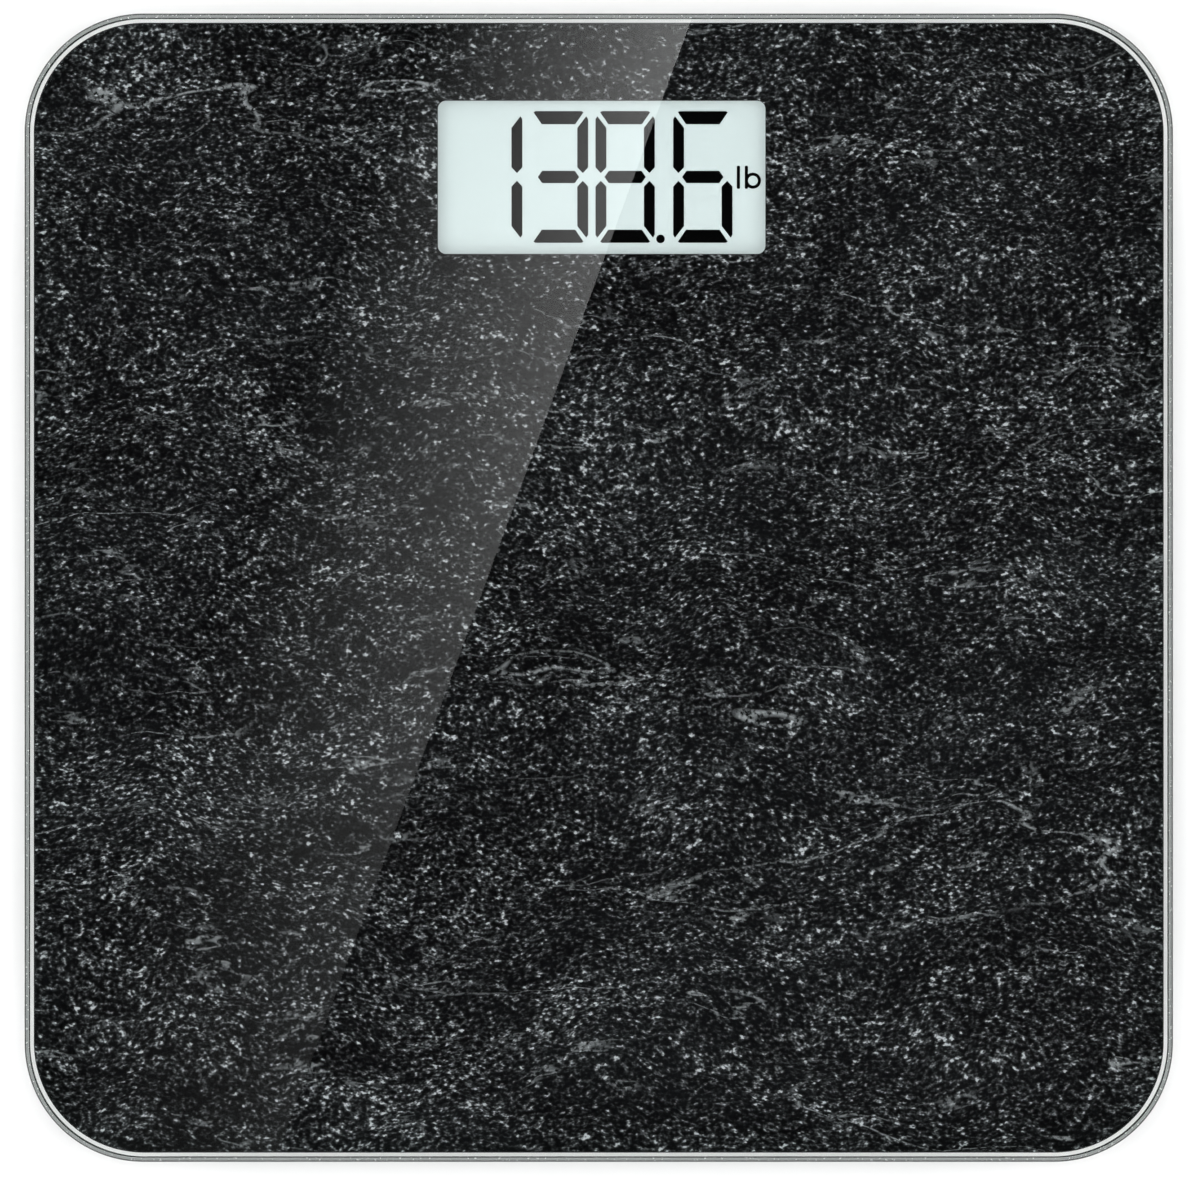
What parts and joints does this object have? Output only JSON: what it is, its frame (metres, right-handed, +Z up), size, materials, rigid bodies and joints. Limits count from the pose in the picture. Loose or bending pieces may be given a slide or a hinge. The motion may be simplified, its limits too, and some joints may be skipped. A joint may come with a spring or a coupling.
{
  "type": "digital bathroom scale",
  "caption": "Flat square electronic bathroom scale with a stone-look glass platform, a backlit reading window at the toe end and round weighing feet under the corners.",
  "frame": {"origin": "on the floor under the middle of the platform", "axes": "+Z up; +Y towards the toe end, where the display is; +X to the right of a person who stands facing the display"},
  "size_m": [0.28, 0.28, 0.025],
  "materials": {
    "tempered_glass": "polished",
    "slate_print": "printed stone pattern",
    "foam_tape": "closed-cell foam",
    "tray_abs": "fine moulded grain",
    "foot_abs": "moulded",
    "foot_rubber": "matte",
    "plated_steel": "zinc plated",
    "white_silicone": "cured silicone",
    "lcd_glass": "backlit display",
    "bezel_abs": "moulded",
    "gasket_foam": "closed-cell foam",
    "light_guide_acrylic": "clear, dotted underside",
    "led_resin": "resin",
    "zebra_silicone": "striped elastomer",
    "fr4_green": "solder mask",
    "chip_epoxy": "moulded epoxy",
    "switch_nylon": "moulded",
    "plunger_nylon": "moulded",
    "button_abs": "fine moulded grain",
    "door_abs": "fine moulded grain",
    "cell_jacket": "printed steel can",
    "nickel_plate": "nickel plated",
    "grey_pvc": "flexible sheath",
    "red_pvc": "flexible sheath",
    "black_pvc": "flexible sheath",
    "screw_steel": "plated"
  },
  "bodies": {
    "root": {"backlight_guide": "light_guide_acrylic", "backlight_led_left": "led_resin", "backlight_led_right": "led_resin", "base_tray": "tray_abs", "battery_a": "cell_jacket", "battery_b": "cell_jacket", "battery_lead_minus": "black_pvc", "battery_lead_plus": "red_pvc", "battery_spring_a": "nickel_plate", "battery_spring_b": "nickel_plate", "board_screw_heel_left": "screw_steel", "board_screw_heel_right": "screw_steel", "board_screw_toe_left": "screw_steel", "board_screw_toe_right": "screw_steel", "bonding_tape": "foam_tape", "contact_bridge": "nickel_plate", "contact_minus": "nickel_plate", "contact_plus": "nickel_plate", "controller_chip": "chip_epoxy", "display_bezel": "bezel_abs", "display_gasket": "gasket_foam", "glass_platform": "tempered_glass", "lcd_panel": "lcd_glass", "load_cell_heel_left": "plated_steel", "load_cell_heel_right": "plated_steel", "load_cell_toe_left": "plated_steel", "load_cell_toe_right": "plated_steel", "main_board": "fr4_green", "printed_film": "slate_print", "sensor_carrier_heel_left": "foot_abs", "sensor_carrier_heel_right": "foot_abs", "sensor_carrier_toe_left": "foot_abs", "sensor_carrier_toe_right": "foot_abs", "sensor_lead_heel_left": "grey_pvc", "sensor_lead_heel_right": "grey_pvc", "sensor_lead_toe_left": "grey_pvc", "sensor_lead_toe_right": "grey_pvc", "strain_gauge_heel_left": "white_silicone", "strain_gauge_heel_right": "white_silicone", "strain_gauge_toe_left": "white_silicone", "strain_gauge_toe_right": "white_silicone", "switch_body": "switch_nylon", "zebra_strip": "zebra_silicone"},
    "foot_heel_left": {"foot_cup_heel_left": "foot_abs", "foot_pad_heel_left": "foot_rubber"},
    "foot_heel_right": {"foot_cup_heel_right": "foot_abs", "foot_pad_heel_right": "foot_rubber"},
    "foot_toe_left": {"foot_cup_toe_left": "foot_abs", "foot_pad_toe_left": "foot_rubber"},
    "foot_toe_right": {"foot_cup_toe_right": "foot_abs", "foot_pad_toe_right": "foot_rubber"},
    "unit_button": {"unit_button": "button_abs", "switch_plunger": "plunger_nylon"},
    "battery_door": {"battery_door": "door_abs"}
  },
  "joints": [
    {"name": "foot_press_heel_left", "type": "slide", "parent": "root", "child": "foot_heel_left", "axis": [0, 0, 1], "range_m": [-0.0004, 0]},
    {"name": "foot_press_heel_right", "type": "slide", "parent": "root", "child": "foot_heel_right", "axis": [0, 0, 1], "range_m": [-0.0004, 0]},
    {"name": "foot_press_toe_left", "type": "slide", "parent": "root", "child": "foot_toe_left", "axis": [0, 0, 1], "range_m": [-0.0004, 0]},
    {"name": "foot_press_toe_right", "type": "slide", "parent": "root", "child": "foot_toe_right", "axis": [0, 0, 1], "range_m": [-0.0004, 0]},
    {"name": "unit_button_press", "type": "slide", "parent": "root", "child": "unit_button", "axis": [0, 0, 1], "range_m": [0, 0.0004], "stiffness_N_per_m": 5000},
    {"name": "battery_door_hinge", "type": "hinge", "parent": "root", "child": "battery_door", "pos_m": [0, 0.0062, 0.004], "axis": [-1, 0, 0], "range_deg": [0, 60]}
  ]
}
